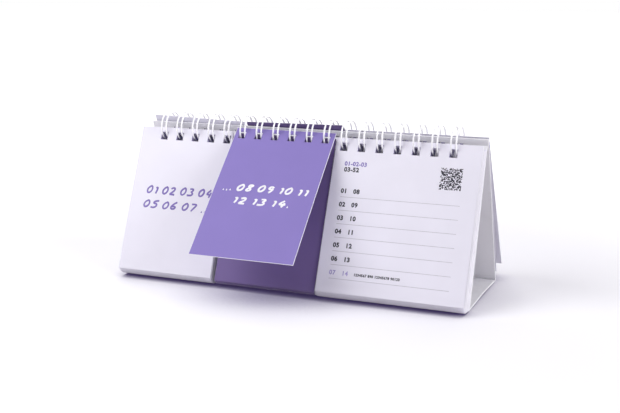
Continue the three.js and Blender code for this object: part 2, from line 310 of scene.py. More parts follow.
def mesh_of(bm, name):
    """The mesh that a bmesh holds; the bmesh is let go."""
    mesh = bpy.data.meshes.new(name)
    bm.to_mesh(mesh)
    bm.free()
    return mesh


def turn(bm, angle, axis, middle=(0, 0, 0)):
    """Turns all of a bmesh about an axis through a point."""
    matrix = Matrix.Rotation(math.radians(angle), 3, axis)
    bmesh.ops.rotate(bm, verts=bm.verts, cent=middle, matrix=matrix)


def to_metres(bm):
    """Scales a bmesh from millimetres, and points its faces outwards."""
    bmesh.ops.scale(bm, verts=bm.verts, vec=(MM, MM, MM))
    bmesh.ops.recalc_face_normals(bm, faces=bm.faces)


def bow_at(y, amount):
    """How far a card stands off its plane: most at about three fifths of the way down."""
    u = max(0.0, min(1.0, (BOW_TOP - y) / BOW_RUN))
    return amount * (math.sin(math.pi * u**BOW_SKEW) + BOW_FOOT * u)


def add_sheet(
    bm, span, loops, q, top, tall, thick, place,
    bow=0.0, rows=1, shift=(0.0, 0.0), swell=0.0, hole_h=HOLE_H, rim=0.0, margin=HOLE_MARGIN, shade=0.0,
):
    """One punched sheet: a grid with its holes taken out, given its thickness, and put in place.

    Its faces get the first material of the piece, its cut edges the second, and the edges inside its
    holes the third, whose colour is painted shade. The rim gets the second too, and a strip of painted shade on
    its rear face, below and between the holes, gets the third.
    """
    dx, dy = shift
    xs = [span[0] + dx]
    for x in loops:
        xs += [x - HOLE_W / 2 + dx, x + HOLE_W / 2 + dx]
    xs.append(span[1] + dx)
    high = top - margin + dy
    low = top - HOLE_MARGIN - hole_h + dy
    foot = top - tall + dy
    ys = [foot + (low - foot) * i / rows for i in range(rows)] + [low, high, top + dy]
    if shade:
        ys.insert(-3, low - shade)
    if rim:
        xs = [xs[0], xs[0] + rim, *xs[1:-1], xs[-1] - rim, xs[-1]]
        ys = [ys[0], ys[0] + rim, *ys[1:-1], ys[-1] - rim, ys[-1]]

    across = len(xs)
    made = bmesh.ops.create_grid(bm, x_segments=across - 1, y_segments=len(ys) - 1, size=0.5)["verts"]
    made.sort(key=lambda v: (round(v.co.y, 5), round(v.co.x, 5)))
    for i, v in enumerate(made):
        v.co = (xs[i % across], ys[i // across], q)
    faces = {f for v in made for f in v.link_faces}

    def is_hole(face):
        c = face.calc_center_median()
        return low < c.y < high and any(abs(c.x - x - dx) < HOLE_W / 2 for x in loops)

    bmesh.ops.delete(bm, geom=[f for f in faces if is_hole(f)], context="FACES")
    rear = [f for f in faces if f.is_valid]
    grown = bmesh.ops.extrude_face_region(bm, geom=rear, use_keep_orig=True)["geom"]
    front_verts = [g for g in grown if isinstance(g, bmesh.types.BMVert)]
    front = {g for g in grown if isinstance(g, bmesh.types.BMFace)}
    bmesh.ops.translate(bm, verts=front_verts, vec=(0, 0, thick))
    walls = {f for v in front_verts for f in v.link_faces} - front

    # Walls inside the holes take the punched-edge colour, which is painted shade; the other walls take the
    # cut-edge colour
    for f in walls:
        c = f.calc_center_median()
        punched = low - NEAR < c.y < high + NEAR and xs[0] + INSIDE < c.x < xs[-1] - INSIDE
        f.material_index = 2 if punched else 1
    if rim:
        for f in front:
            c = f.calc_center_median()
            if not (xs[1] < c.x < xs[-2] and ys[1] < c.y < ys[-2]):
                f.material_index = 1
    # Painted shade: the rear face below and between the holes takes the punched-edge colour, where the panel's
    # holes look into shade
    if shade:
        for f in rear:
            c = f.calc_center_median()
            if low - shade < c.y < high and xs[0] + SHADE_SIDE < c.x < xs[-1] - SHADE_SIDE:
                f.material_index = 2

    for v in front_verts:
        v.co.z -= swell * v.co.y / CARD_LEN
    verts = [v for v in made if v.is_valid] + front_verts
    if bow:
        for v in verts:
            v.co.z += bow_at(v.co.y, bow)
    bmesh.ops.transform(bm, matrix=place, verts=verts)
    bmesh.ops.recalc_face_normals(bm, faces=[*rear, *front, *walls])


def loops_in(block):
    """Where the loops of a block are along the comb."""
    low, high = BLOCKS[block]
    return [x for x in LOOP_X if low < x < high]


def seen_from_back(span, loops):
    """The two sides and the loops of a block, along X of a sheet that faces the back."""
    return (-span[1], -span[0]), sorted(-x for x in loops)


# ---------------------------------------------------------------- materials


class Nodes:
    """Adds nodes to a tree and links them, a call for each."""

    def __init__(self, tree):
        self.tree = tree
        self.tree.nodes.clear()

    def add(self, kind, **values):
        node = self.tree.nodes.new(kind)
        for key, value in values.items():
            setattr(node, key, value)
        return node

    def set(self, node, **values):
        """Sets constants on a node's inputs; a name's spaces are written as underscores."""
        for key, value in values.items():
            node.inputs[key.replace("_", " ")].default_value = value

    def link(self, a, b):
        self.tree.links.new(a, b)

    def feed(self, socket, value):
        """Puts a number or a colour on a socket, or links another node's output to it."""
        if isinstance(value, (int, float)):
            socket.default_value = value
        elif isinstance(value, tuple):
            socket.default_value = (*value, 1.0)
        else:
            self.link(value, socket)

    def math(self, operation, *values):
        node = self.add("ShaderNodeMath", operation=operation)
        for socket, value in zip(node.inputs, values):
            self.feed(socket, value)
        return node.outputs[0]

    def mix(self, factor, a, b):
        node = self.add("ShaderNodeMix", data_type="RGBA")
        for socket, value in ((node.inputs["Factor"], factor), (node.inputs[6], a), (node.inputs[7], b)):
            self.feed(socket, value)
        return node.outputs[2]

    def noise(self, vector, scale, detail=2.0, rough=0.5):
        node = self.add("ShaderNodeTexNoise")
        self.set(node, Detail=detail, Roughness=rough)
        self.feed(node.inputs["Scale"], scale)
        self.link(vector, node.inputs["Vector"])
        return node.outputs["Fac"]

    def spread(self, value, low, high, to_low=0.0, to_high=1.0):
        """Eases a value from one range into another, and holds it there."""
        node = self.add("ShaderNodeMapRange", interpolation_type="SMOOTHSTEP")
        self.set(node, From_Min=low, From_Max=high, To_Min=to_low, To_Max=to_high)
        self.link(value, node.inputs["Value"])
        return node.outputs["Result"]

    def stretched(self, vector, x, y, z):
        node = self.add("ShaderNodeMapping")
        self.set(node, Scale=(x, y, z))
        self.link(vector, node.inputs["Vector"])
        return node.outputs["Vector"]

    def split(self, vector):
        node = self.add("ShaderNodeSeparateXYZ")
        self.link(vector, node.inputs[0])
        return node.outputs

    def seen(self):
        """1 for what the eye sees straight, in gloss or through glass, and 0 for the light that is cast."""
        path = self.add("ShaderNodeLightPath").outputs
        through = self.math("MAXIMUM", path["Is Glossy Ray"], path["Is Transmission Ray"])
        return self.math("MAXIMUM", path["Is Camera Ray"], through)

    def choose(self, factor, a, b):
        node = self.add("ShaderNodeMixShader")
        for socket, value in zip(node.inputs, (factor, a, b)):
            self.link(value, socket)
        return node.outputs[0]


def new_group(name, inputs, outputs):
    """A node group with named inputs and outputs: its nodes, what it is given and what it puts out."""
    group = bpy.data.node_groups.new(name, "ShaderNodeTree")
    for label, kind, value in inputs:
        socket = group.interface.new_socket(name=label, in_out="INPUT", socket_type=kind)
        if value is not None:
            socket.default_value = value
    for label, kind in outputs:
        group.interface.new_socket(name=label, in_out="OUTPUT", socket_type=kind)
    n = Nodes(group)
    return n, n.add("NodeGroupInput").outputs, n.add("NodeGroupOutput").inputs


FLOAT, VECTOR = "NodeSocketFloat", "NodeSocketVector"


def paper_grain():
    """Fine tooth of coated paper and board, with wide soft clouds of shade."""
    name = "paper grain"
    if name in bpy.data.node_groups:
        return bpy.data.node_groups[name]
    n, given, out = new_group(
        name,
        [("Vector", VECTOR, None), ("Tooth", FLOAT, 2600.0), ("Cloud", FLOAT, 38.0)],
        [("Clouds", FLOAT), ("Height", FLOAT), ("Gloss", FLOAT)],
    )
    tooth = n.noise(given["Vector"], given["Tooth"], detail=3.0, rough=0.6)
    fibres = n.noise(n.stretched(given["Vector"], 1.0, 0.28, 0.28), scale=1500.0)
    cloud = n.noise(given["Vector"], given["Cloud"])
    n.link(n.spread(cloud, 0.3, 0.7), out["Clouds"])
    n.link(n.math("MULTIPLY_ADD", tooth, 0.6, 0.5), out["Gloss"])
    n.link(n.math("ADD", tooth, n.math("MULTIPLY", fibres, 0.5)), out["Height"])
    return n.tree


def handled_edges():
    """A mask that rises near the two ends along X, broken up, where hands and the table rub a sheet."""
    name = "handled edges"
    if name in bpy.data.node_groups:
        return bpy.data.node_groups[name]
    n, given, out = new_group(
        name,
        [("Vector", VECTOR, None), ("Low X", FLOAT, -0.1), ("High X", FLOAT, 0.1), ("Width", FLOAT, 0.0022)],
        [("Wear", FLOAT)],
    )
    x = n.split(given["Vector"])["X"]
    low = n.math("SUBTRACT", x, given["Low X"])
    high = n.math("SUBTRACT", given["High X"], x)
    near = n.math("DIVIDE", n.math("MINIMUM", low, high), given["Width"])
    broken = n.spread(n.noise(given["Vector"], scale=420.0, detail=4.0, rough=0.65), 0.42, 0.68)
    n.link(n.math("MULTIPLY", n.spread(near, 1.0, 0.0), broken), out["Wear"])
    return n.tree


def new_material(name, **constants):
    """A material with one shader, whose constants are set on the shader itself."""
    material = bpy.data.materials.new(name)
    material.use_nodes = True
    n = Nodes(material.node_tree)
    shader = n.add("ShaderNodeBsdfPrincipled")
    n.set(shader, **constants)
    out = n.add("ShaderNodeOutputMaterial")
    n.link(shader.outputs[0], out.inputs["Surface"])
    where = n.add("ShaderNodeTexCoord").outputs["Object"]
    return material, n, shader, where


def place_group(n, group, where, **values):
    """Puts a node group in a material, with the material's own values."""
    node = n.add("ShaderNodeGroup", node_tree=group)
    n.link(where, node.inputs["Vector"])
    n.set(node, **values)
    return node.outputs


def bump(n, shader, height, strength, distance):
    """Raises the surface by a height that changes over it; the distance is in metres."""
    node = n.add("ShaderNodeBump")
    n.set(node, Strength=strength, Distance=distance)
    n.link(height, node.inputs["Height"])
    n.link(node.outputs[0], shader.inputs["Normal"])


def darker(c, k):
    """A colour at a share of its strength."""
    return tuple(v * k for v in c)


def card_material(name, c, span, wear_to):
    """Smooth coated card: faint clouds of shade, fine tooth, slightly rubbed side edges."""
    material, n, shader, where = new_material(name, Specular_IOR_Level=0.28)
    grain = place_group(n, paper_grain(), where)
    worn = place_group(n, handled_edges(), where, Low_X=span[0] * MM, High_X=span[1] * MM, Width=0.0007)
    body = n.mix(grain["Clouds"], tuple(c), darker(c, 0.972))
    n.link(n.mix(n.math("MULTIPLY", worn["Wear"], 0.3), body, wear_to), shader.inputs["Base Color"])
    n.link(n.math("MULTIPLY_ADD", grain["Gloss"], 0.12, 0.45), shader.inputs["Roughness"])
    bump(n, shader, grain["Height"], strength=0.22, distance=0.00003)
    return material


def cut_edge_material(name, c):
    """Cut edges of paper: fibres show, each leaf a little lighter or darker than the next."""
    material, n, shader, where = new_material(name, Specular_IOR_Level=0.2)
    grain = place_group(n, paper_grain(), where, Tooth=5200.0)
    leaf = n.noise(n.stretched(where, 0.03, 1.0, 0.1), scale=2600.0, detail=1.0)
    shade = n.mix(n.spread(leaf, 0.35, 0.65), darker(c, 0.93), tuple(c))
    cloud = n.math("MULTIPLY", grain["Clouds"], 0.5)
    n.link(n.mix(cloud, shade, darker(c, 0.95)), shader.inputs["Base Color"])
    n.link(n.spread(grain["Gloss"], 0.2, 0.5, to_low=0.7, to_high=0.85), shader.inputs["Roughness"])
    bump(n, shader, grain["Height"], strength=0.4, distance=0.00005)
    return material


def board_material(c):
    """White lined board of the stand: paper skin with faint clouds, greyer near its rubbed side ends, and a
    little darker, broken up, within 4 mm of the floor.
    """
    material, n, shader, where = new_material("white board", Specular_IOR_Level=0.3)
    grain = place_group(n, paper_grain(), where, Tooth=1800.0, Cloud=22.0)
    side = HALF_W * MM
    worn = place_group(n, handled_edges(), where, Low_X=-side, High_X=side, Width=0.003)
    near_floor = n.spread(n.split(where)["Z"], 0.004, 0.0)
    low = n.math("MULTIPLY", near_floor, n.spread(n.noise(where, scale=260.0, detail=4.0), 0.4, 0.65))
    body = n.mix(grain["Clouds"], tuple(c), darker(c, 0.95))
    body = n.mix(n.math("MULTIPLY", worn["Wear"], 0.5), body, darker(c, 0.86))
    n.link(n.mix(n.math("MULTIPLY", low, 0.35), body, darker(c, 0.8)), shader.inputs["Base Color"])
    n.link(n.spread(grain["Gloss"], 0.2, 0.5, to_low=0.55, to_high=0.68), shader.inputs["Roughness"])
    bump(n, shader, grain["Height"], strength=0.3, distance=0.00004)
    return material


def coat_material(c):
    """White coat on wire: glossy, a little uneven, duller and greyer in small rubbed spots."""
    material, n, shader, where = new_material("white wire coat", Coat_Weight=0.35, Coat_Roughness=0.12)
    rub = n.spread(n.noise(where, scale=900.0, detail=4.0, rough=0.6), 0.6, 0.72)
    wave = n.noise(n.stretched(where, 1.0, 0.4, 0.4), scale=1300.0)
    n.link(n.mix(n.math("MULTIPLY", rub, 0.35), tuple(c), darker(c, 0.8)), shader.inputs["Base Color"])
    uneven = n.spread(wave, 0.3, 0.7, to_low=0.2, to_high=0.3)
    n.link(n.math("ADD", uneven, n.math("MULTIPLY", rub, 0.2)), shader.inputs["Roughness"])
    bump(n, shader, wave, strength=0.15, distance=0.00005)
    return material


def ink_material(name, c, paper, hold=0.12):
    """Printed ink: dense, with small places where the paper shows through."""
    material, n, shader, where = new_material(name, Specular_IOR_Level=0.35)
    speck = n.spread(n.noise(where, scale=3800.0, detail=3.0, rough=0.6), 0.52, 0.75)
    cloud = n.spread(n.noise(where, scale=240.0), 0.3, 0.7)
    body = n.mix(cloud, tuple(c), darker(c, 0.9))
    n.link(n.mix(n.math("MULTIPLY", speck, hold), body, tuple(paper)), shader.inputs["Base Color"])
    n.link(n.spread(cloud, 0.0, 1.0, to_low=0.42, to_high=0.55), shader.inputs["Roughness"])
    return material


def floor_material():
    """Pale floor that stays white to the eye and keeps the soft shadow, with painted shade and a painted
    lavender tint near the object.
    """
    material = bpy.data.materials.new("pale floor")
    material.use_nodes = True
    n = Nodes(material.node_tree)
    out = n.add("ShaderNodeOutputMaterial")
    # Painted shade: the floor's colour, as seen and as it casts light back, darkens where ambient occlusion
    # finds the object close
    near = n.add("ShaderNodeAmbientOcclusion", samples=8)
    n.set(near, Distance=0.06)
    free_of_painted_shade = n.spread(near.outputs["AO"], 0.0, 0.9)
    lit, matt = n.add("ShaderNodeBsdfDiffuse"), n.add("ShaderNodeBsdfDiffuse")
    n.link(n.mix(free_of_painted_shade, (0.14, 0.12, 0.2), (0.945, 0.945, 0.945)), lit.inputs["Color"])
    n.link(n.mix(free_of_painted_shade, (0.4, 0.37, 0.45), (0.92, 0.89, 0.92)), matt.inputs["Color"])
    # A glow seen only by the eye: faint lavender near the object, a painted tint of its shadow, rising far off
    # to a plain white backdrop
    reach = n.add("ShaderNodeVectorMath", operation="LENGTH")
    n.link(n.add("ShaderNodeTexCoord").outputs["Object"], reach.inputs[0])
    far = n.spread(reach.outputs["Value"], 0.2, 0.6)
    glow = n.add("ShaderNodeEmission")
    n.set(glow, Strength=1.0)
    n.link(n.mix(far, (0.03, 0.02, 0.07), (0.4, 0.4, 0.4)), glow.inputs["Color"])
    shown = n.add("ShaderNodeAddShader")
    n.link(lit.outputs[0], shown.inputs[0])
    n.link(glow.outputs[0], shown.inputs[1])
    n.link(n.choose(n.seen(), matt.outputs[0], shown.outputs[0]), out.inputs["Surface"])
    return material


# ---------------------------------------------------------------- print

STROKES = {
    "0": [
        [(0.32, 1.0), (0.06, 0.82), (0.0, 0.4), (0.2, 0.0), (0.46, 0.12), (0.56, 0.6), (0.4, 0.96), (0.26, 1.0)],
    ],
    "1": [[(0.08, 0.74), (0.3, 1.0), (0.28, 0.5), (0.26, 0.0)]],
    "2": [[(0.03, 0.78), (0.22, 1.02), (0.5, 0.84), (0.36, 0.42), (0.0, 0.0), (0.26, 0.07), (0.58, 0.03)]],
    "3": [[(0.06, 0.92), (0.4, 1.02), (0.5, 0.72), (0.2, 0.54), (0.58, 0.42), (0.5, 0.02), (0.0, 0.08)]],
    "4": [
        [(0.34, 1.0), (0.14, 0.66), (0.0, 0.36), (0.3, 0.38), (0.6, 0.42)],
        [(0.46, 0.68), (0.42, 0.3), (0.4, -0.02)],
    ],
    "5": [[(0.56, 1.0), (0.14, 0.97), (0.06, 0.56), (0.5, 0.64), (0.54, 0.14), (0.24, -0.02), (0.0, 0.1)]],
    "6": [[(0.44, 1.0), (0.12, 0.66), (0.0, 0.22), (0.22, -0.02), (0.54, 0.14), (0.42, 0.48), (0.06, 0.34)]],
    "7": [[(0.0, 0.95), (0.3, 0.98), (0.58, 1.0), (0.34, 0.5), (0.2, 0.0)]],
    "8": [
        [
            (0.5, 0.86), (0.24, 1.04), (0.04, 0.78), (0.3, 0.52), (0.54, 0.22),
            (0.26, -0.04), (0.0, 0.2), (0.26, 0.5), (0.5, 0.9),
        ],
    ],
    "9": [[(0.5, 0.78), (0.28, 1.04), (0.02, 0.74), (0.24, 0.46), (0.52, 0.72), (0.5, 0.36), (0.3, 0.0)]],
    ".": [[(0.06, 0.04), (0.1, 0.02), (0.14, 0.05)]],
}
ADVANCE = {"1": 0.62, ".": 0.34, " ": 0.36}
DIGIT_ADVANCE = 0.88


def pen_numbers(rows, half, seed):
    """Numbers drawn with a broad pen: rows of (text, x, y, height, width of the whole row)."""
    rng = random.Random(seed)
    curve = bpy.data.curves.new("pen", "CURVE")
    curve.dimensions = "3D"
    curve.bevel_depth = half
    curve.bevel_resolution = 2
    curve.use_fill_caps = True
    curve.resolution_u = 5
    for text, x, y, tall, wide in rows:
        step = wide / sum(ADVANCE.get(c, DIGIT_ADVANCE) for c in text)
        for c in text:
            lift = rng.uniform(*PEN_LIFT)
            for stroke in STROKES.get(c, []):
                spline = curve.splines.new("NURBS")
                spline.points.add(len(stroke) - 1)
                spline.order_u = min(4, len(stroke))
                spline.use_endpoint_u = True
                for point, (u, v) in zip(spline.points, stroke):
                    v += lift
                    point.co = (x + (u * PEN_WIDE + v * PEN_SLANT) * step, y + v * tall, 0, 1)
                    point.radius = rng.uniform(*PEN_PRESS)
            x += ADVANCE.get(c, DIGIT_ADVANCE) * step
    bm = as_bmesh(curve)
    bmesh.ops.scale(bm, verts=bm.verts, vec=(1, 1, PEN_FLAT))
    return bm


def type_numbers(rows, weight):
    """Plain printed numbers: rows of (text, x, y, size), with the finest outline that closes them all."""
    bm = bmesh.new()
    for text, x, y, size in rows:
        for steps in TYPE_STEPS:
            curve = bpy.data.curves.new("type", "FONT")
            curve.body = text
            curve.size = size
            curve.space_character = TYPE_SPACE
            curve.offset = weight * size
            curve.extrude = TYPE_HALF
            curve.resolution_u = steps
            row = as_bmesh(curve)
            bmesh.ops.recalc_face_normals(row, faces=row.faces)
            if all(edge.is_contiguous for edge in row.edges):
                break
        bmesh.ops.translate(row, verts=row.verts, vec=(x, y, 0))
        mesh = mesh_of(row, "type")
        bm.from_mesh(mesh)
        bpy.data.meshes.remove(mesh)
    return bm


def as_bmesh(curve):
    """The mesh of a curve or text, made before its place is applied."""
    holder = bpy.data.objects.new("holder", curve)
    bpy.context.scene.collection.objects.link(holder)
    bpy.context.view_layer.update()
    mesh = bpy.data.meshes.new_from_object(holder.evaluated_get(bpy.context.evaluated_depsgraph_get()))
    bpy.data.objects.remove(holder)
    bpy.data.curves.remove(curve)
    bm = bmesh.new()
    bm.from_mesh(mesh)
    bpy.data.meshes.remove(mesh)
    bmesh.ops.remove_doubles(bm, verts=bm.verts, dist=1e-5)
    return bm


def strips(rows):
    """Thin printed rules, each a flat bar: rows of (x0, x1, y)."""
    bm = bmesh.new()
    for x0, x1, y in rows:
        bar = bmesh.ops.create_cube(bm, size=1.0)["verts"]
        bmesh.ops.scale(bm, verts=bar, vec=(x1 - x0, 2 * RULE_HALF, INK_THICK))
        bmesh.ops.translate(bm, verts=bar, vec=((x0 + x1) / 2, y, 0))
    return bm


def block_pattern(seed):
    """A plain square of scattered dark blocks."""
    rng = random.Random(seed)
    (x0, y0), side = PATTERN_AT, PATTERN_SIDE
    bm = bmesh.new()
    bmesh.ops.create_grid(bm, x_segments=PATTERN_CELLS, y_segments=PATTERN_CELLS, size=side / 2)

    def place(face):
        c = face.calc_center_median()
        return round(c.y, 4), round(c.x, 4)

    light = [f for f in sorted(bm.faces, key=place) if rng.random() < PATTERN_LIGHT]
    bmesh.ops.delete(bm, geom=light, context="FACES")
    grown = bmesh.ops.extrude_face_region(bm, geom=bm.faces[:], use_keep_orig=True)["geom"]
    raised = [g for g in grown if isinstance(g, bmesh.types.BMVert)]
    bmesh.ops.translate(bm, verts=raised, vec=(0, 0, INK_THICK))
    bmesh.ops.recalc_face_normals(bm, faces=bm.faces)
    bmesh.ops.translate(bm, verts=bm.verts, vec=(x0 + side / 2, y0 - side / 2, 0))
    return bm


def lay_print(bm, name, card, lean, out, bow, material):
    """Puts print on a card's face and lets it ride on that card."""
    for v in bm.verts:
        v.co.z += out + PRINT_LIFT + bow_at(v.co.y, bow)
    bmesh.ops.transform(bm, matrix=facing(lean), verts=bm.verts)
    bmesh.ops.recalc_face_normals(bm, faces=bm.faces)
    keep(name, mesh_of(bm, name), card, [material])


# ---------------------------------------------------------------- operators


class CALENDAR_OT_comb(bpy.types.Operator):
    """Makes the wire comb: one smooth unbroken wire bent into double loops"""

    bl_idname = "calendar.comb"
    bl_label = "Wire comb"

    def execute(self, context):
        sizes = context.scene.calendar.comb
        radius = sizes.radius / MM
        r = PAIR / 2
        tip = 2 * math.pi * radius - TIP_GAP - r
        points = []

        def put(x, arc):
            a = math.radians(SPINE_ANGLE) - arc / radius
            points.append((x, RING[0] + radius * math.cos(a), RING[1] + radius * math.sin(a)))

        def bend(x, way, step):
            a = step / BEND_STEPS * math.pi / 2
            put(x + way * (r + BEND_R - BEND_R * math.sin(a)), BEND_R - BEND_R * math.cos(a))

        def arm(x, way, step):
            put(x + way * r, BEND_R + (tip - BEND_R) * step / ARM_STEPS)

        put(LOOP_X[0] - r - BEND_R - STUB, 0)
        for x in LOOP_X:
            for i in range(BEND_STEPS + 1):
                bend(x, -1, i)
            for i in range(1, ARM_STEPS + 1):
                arm(x, -1, i)
            for i in range(1, TIP_STEPS):
                a = i / TIP_STEPS * math.pi
                put(x - r * math.cos(a), tip + r * math.sin(a))
            for i in range(ARM_STEPS, 0, -1):
                arm(x, 1, i)
            for i in range(BEND_STEPS, -1, -1):
                bend(x, 1, i)
        put(LOOP_X[-1] + r + BEND_R + STUB, 0)

        curve = bpy.data.curves.new("wire", "CURVE")
        curve.dimensions = "3D"
        curve.bevel_depth = sizes.wire / MM / 2
        curve.bevel_resolution = 4
        curve.use_fill_caps = True
        spline = curve.splines.new("POLY")
        spline.points.add(len(points) - 1)
        for p, co in zip(spline.points, points):
            p.co = (*co, 1)
        bm = as_bmesh(curve)
        to_metres(bm)
        for f in bm.faces:
            f.smooth = True
        name = "smooth_comb"
        piece = keep(name, mesh_of(bm, name), "stand", [coat_material(sizes.coat)])
        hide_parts("wire_comb")
        return {"FINISHED"}


class CALENDAR_OT_stand(bpy.types.Operator):
    """Dresses the board panels and makes the two halves of the base, which meet at the crease"""

    bl_idname = "calendar.stand"
    bl_label = "Folding stand"

    def execute(self, context):
        sizes = context.scene.calendar.stand
        board = board_material(sizes.board)
        for node in ("front_panel", "back_panel"):
            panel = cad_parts[node]
            panel.data.materials.clear()
            panel.data.materials.append(board)
        for name, body, replaced in (
            ("base_front_board", "base_front", ("base_front", "base_crease")),
            ("base_rear_board", "base_rear", ("base_rear",)),
        ):
            bm = bmesh.new()
            bmesh.ops.create_cube(bm, size=1.0)
            long = BASE_LEN - BASE_START - CREASE_GAP
            bmesh.ops.scale(bm, verts=bm.verts, vec=(2 * HALF_W, long, BOARD))
            bmesh.ops.translate(bm, verts=bm.verts, vec=(0, BASE_START + long / 2, 0))
            bmesh.ops.bevel(
                bm, geom=bm.edges[:], offset=sizes.corner / MM, offset_type="OFFSET", segments=2, profile=0.5,
                affect="EDGES", material=-1, clamp_overlap=True,
            )
            turn(bm, BASE_TILT, "X")
            bmesh.ops.translate(bm, verts=bm.verts, vec=(0, *HINGE))
            if body == "base_rear":
                turn(bm, 180, "Z", middle=(0, MIDDLE, 0))
            to_metres(bm)
            piece = keep(name, mesh_of(bm, name), body, [board])
            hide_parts(*replaced)
        return {"FINISHED"}


def face_of(block, card):
    """Name of the material on the faces of a sheet."""
    # The mid block's cards, all but the swung-out one, take the painted-shade copy of the purple
    inner = block == "mid" and card != "top_card"
    return block + (" deep card" if inner else " card")


def card_materials(context):
    """The materials that the leaves and cards share, made once."""
    made = bpy.data.materials
    if "cut edge" not in made:
        sizes = context.scene.calendar.leaves
        worn_purple = (0.78, 0.76, 0.9)
        cut_edge_material("cut edge", sizes.cut)
        # The punched-edge colour is painted shade, for the holes and for the strips behind the holes of turned
        # sheets
        cut_edge_material("punched edge", sizes.punched)
        for block, span in BLOCKS.items():
            c = sizes.purple if block == "mid" else sizes.pale
            card_material(block + " card", c, span, worn_purple if block == "mid" else darker(c, 0.9))
        # Painted shade: the mid block's inner cards get a darker, greyer copy of the purple
        card_material("mid deep card", sizes.shaded_purple, BLOCKS["mid"], worn_purple)
    return made


def keep_sheet(bm, made, block, card, ending):
    """Makes a piece from a sheet or a pack of leaves, which stands for its CAD node."""
    node = block + "_" + card
    name = node + ending
    materials = [made[face_of(block, card)], made["cut edge"], made["punched edge"]]
    piece = keep(name, mesh_of(bm, name), node, materials)
    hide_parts(node)


class CALENDAR_OT_packs(bpy.types.Operator):
    """Makes the packs of thin leaves of the three blocks"""

    bl_idname = "calendar.packs"
    bl_label = "Packs of leaves"

    def execute(self, context):
        sizes = context.scene.calendar.leaves
        made = card_materials(context)
        stray = sizes.stray / MM
        thick = sizes.leaf / MM
        for block, span in BLOCKS.items():
            for pack, (first, last) in PACKS.items():
                rng = random.Random(block + pack)
                count = sizes.rear_leaves if pack == "rear_pack" else sizes.front_leaves
                bm = bmesh.new()
                for i in range(count):
                    f = i / (count - 1)
                    q = first[0] + (last[0] - first[0] - thick) * f
                    top = first[1] + (last[1] - first[1]) * f
                    lean = first[2] + (last[2] - first[2]) * f
                    shift = (rng.uniform(-stray, stray) * STRAY_X, rng.uniform(-stray, stray) * STRAY_Y)
                    add_sheet(
                        bm, span, loops_in(block), q, top, CARD_LEN - TRIM, thick, facing(lean),
                        shift=shift, swell=LEAF_SWELL, margin=MARGINS[pack],
                    )
                keep_sheet(bm, made, block, pack, "_leaves")
        return {"FINISHED"}


class CALENDAR_OT_cards(bpy.types.Operator):
    """Makes the single cards in front of the packs"""

    bl_idname = "calendar.cards"
    bl_label = "Front cards"

    def execute(self, context):
        made = card_materials(context)
        for block, span in BLOCKS.items():
            for card, (q, top, lean) in SINGLES.items():
                swung = block == "mid" and card == "top_card"
                bm = bmesh.new()
                add_sheet(
                    bm, span, loops_in(block), q, top, CARD_LEN, CARD, facing(OPEN_LEAN if swung else lean),
                    bow=BOWS[card], rows=BOW_ROWS, rim=RIM if swung else 0.0, margin=MARGINS[card],
                )
                keep_sheet(bm, made, block, card, "_sheet")
        return {"FINISHED"}


class CALENDAR_OT_turned(bpy.types.Operator):
    """Makes the cards and covers that are turned over to the back"""

    bl_idname = "calendar.turned"
    bl_label = "Turned cards and covers"

    def execute(self, context):
        made = card_materials(context)
        for block, span in BLOCKS.items():
            behind, loops = seen_from_back(span, loops_in(block))

            q, top, lean = TURNED
            bm = bmesh.new()
            add_sheet(bm, behind, loops, q, top, CARD_LEN, CARD, facing(lean, back=True), shade=PAINTED_SHADE)
            keep_sheet(bm, made, block, "turned_card", "_sheet")

            q, top, lean = COVERS
            top += COVER_LIFT[block]
            bm = bmesh.new()
            add_sheet(
                bm, behind, loops, q, top, COVER_LEN, CARD, Matrix.Identity(4),
                hole_h=top - HOLE_MARGIN - COVER_HOLE_FOOT[block],
                margin=HOLE_MARGIN + COVER_LIFT[block] + COVER_MORE[block], shade=PAINTED_SHADE,
            )
            turn(bm, COVER_ASKEW[block], "Z", middle=(sum(behind) / 2, 0, 0))
            bmesh.ops.translate(bm, verts=bm.verts, vec=(-COVER_ASIDE[block], 0, 0))
            bmesh.ops.transform(bm, matrix=facing(lean, back=True), verts=bm.verts)
            bmesh.ops.recalc_face_normals(bm, faces=bm.faces)
            keep_sheet(bm, made, block, "cover", "_sheet")
        return {"FINISHED"}


